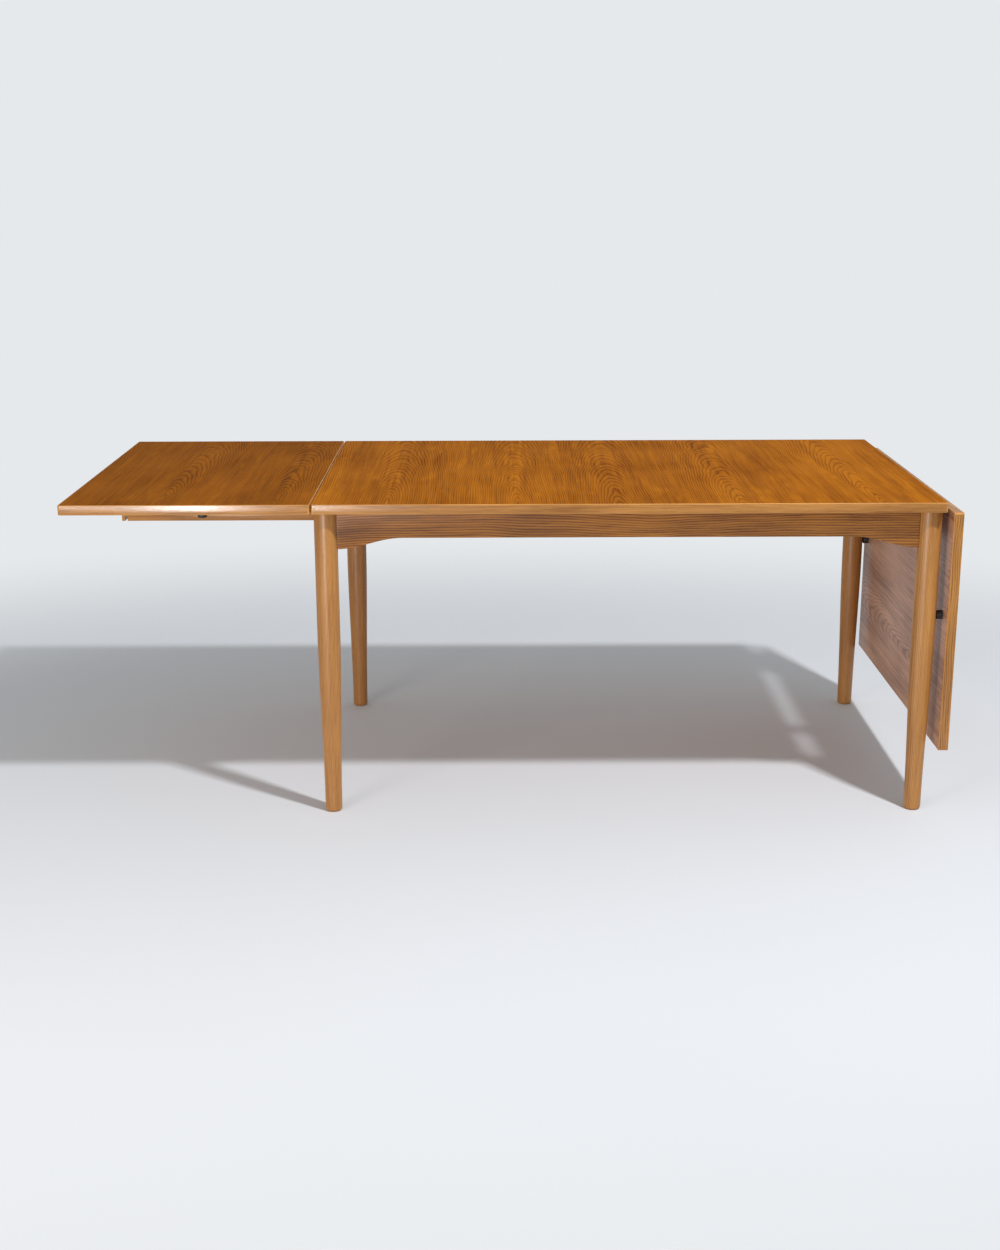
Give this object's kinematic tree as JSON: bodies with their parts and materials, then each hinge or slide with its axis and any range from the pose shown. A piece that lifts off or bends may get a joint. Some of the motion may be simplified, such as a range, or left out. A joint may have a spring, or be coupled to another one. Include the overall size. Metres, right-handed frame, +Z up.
{
  "type": "drop leaf dining table",
  "caption": "Rectangular oak drop leaf dining table on round tapered legs, with a hinged leaf at each end that rests on pull-out supports when raised.",
  "frame": {"origin": "on the floor, below the centre of the table's bounding box as it stands with the left leaf raised and the right leaf hanging", "axes": "+X along the table towards the hanging leaf, +Y from the front to the back, +Z up"},
  "size_m": [1.963, 0.87, 0.72],
  "materials": {
    "oak_veneer": "oak veneer, oiled, satin",
    "oak_solid": "solid oak, oiled, satin",
    "oak_leg": "turned solid oak, oiled, satin",
    "beech": "solid beech, planed, unfinished",
    "brass": "brushed, slightly dulled",
    "steel": "zinc-plated wood screws and plain pins",
    "rubber": "black rubber, matt"
  },
  "bodies": {
    "table_frame": {"top_panel": "oak_veneer", "top_lipping": "oak_solid", "front_left_leg": "oak_leg", "front_right_leg": "oak_leg", "back_left_leg": "oak_leg", "back_right_leg": "oak_leg", "front_apron": "oak_solid", "back_apron": "oak_solid", "left_end_rail": "oak_solid", "right_end_rail": "oak_solid", "left_bearer_rail": "beech", "right_bearer_rail": "beech", "corner_blocks": "beech", "corner_block_screws": "steel", "top_fixing_screws": "steel", "left_fixed_hinge_plates": "brass", "left_hinge_pins": "steel", "left_fixed_hinge_screws": "brass", "right_fixed_hinge_plates": "brass", "right_hinge_pins": "steel", "right_fixed_hinge_screws": "brass"},
    "left_leaf": {"left_leaf_panel": "oak_veneer", "left_leaf_lipping": "oak_solid", "left_leaf_hinge_plates": "brass", "left_leaf_hinge_screws": "brass", "left_leaf_bumpers": "rubber", "left_leaf_bumper_screws": "steel"},
    "right_leaf": {"right_leaf_panel": "oak_veneer", "right_leaf_lipping": "oak_solid", "right_leaf_hinge_plates": "brass", "right_leaf_hinge_screws": "brass", "right_leaf_bumpers": "rubber", "right_leaf_bumper_screws": "steel"},
    "left_front_slide": {"left_front_support": "oak_solid", "left_front_stop_pin": "beech"},
    "left_back_slide": {"left_back_support": "oak_solid", "left_back_stop_pin": "beech"},
    "right_front_slide": {"right_front_support": "oak_solid", "right_front_stop_pin": "beech"},
    "right_back_slide": {"right_back_support": "oak_solid", "right_back_stop_pin": "beech"}
  },
  "joints": [
    {"name": "left_leaf_hinge", "type": "hinge", "parent": "table_frame", "child": "left_leaf", "pos_m": [-0.442, 0, 0.6925], "axis": [0, 1, 0], "range_deg": [0, 4]},
    {"name": "right_leaf_hinge", "type": "hinge", "parent": "table_frame", "child": "right_leaf", "pos_m": [0.954, 0, 0.6925], "axis": [0, -1, 0], "range_deg": [0, 90]},
    {"name": "left_front_support_slide", "type": "slide", "parent": "table_frame", "child": "left_front_slide", "axis": [1, 0, 0], "range_m": [0, 0.43]},
    {"name": "left_back_support_slide", "type": "slide", "parent": "table_frame", "child": "left_back_slide", "axis": [1, 0, 0], "range_m": [0, 0.43]},
    {"name": "right_front_support_slide", "type": "slide", "parent": "table_frame", "child": "right_front_slide", "axis": [1, 0, 0], "range_m": [0, 0.018]},
    {"name": "right_back_support_slide", "type": "slide", "parent": "table_frame", "child": "right_back_slide", "axis": [1, 0, 0], "range_m": [0, 0.018]}
  ]
}
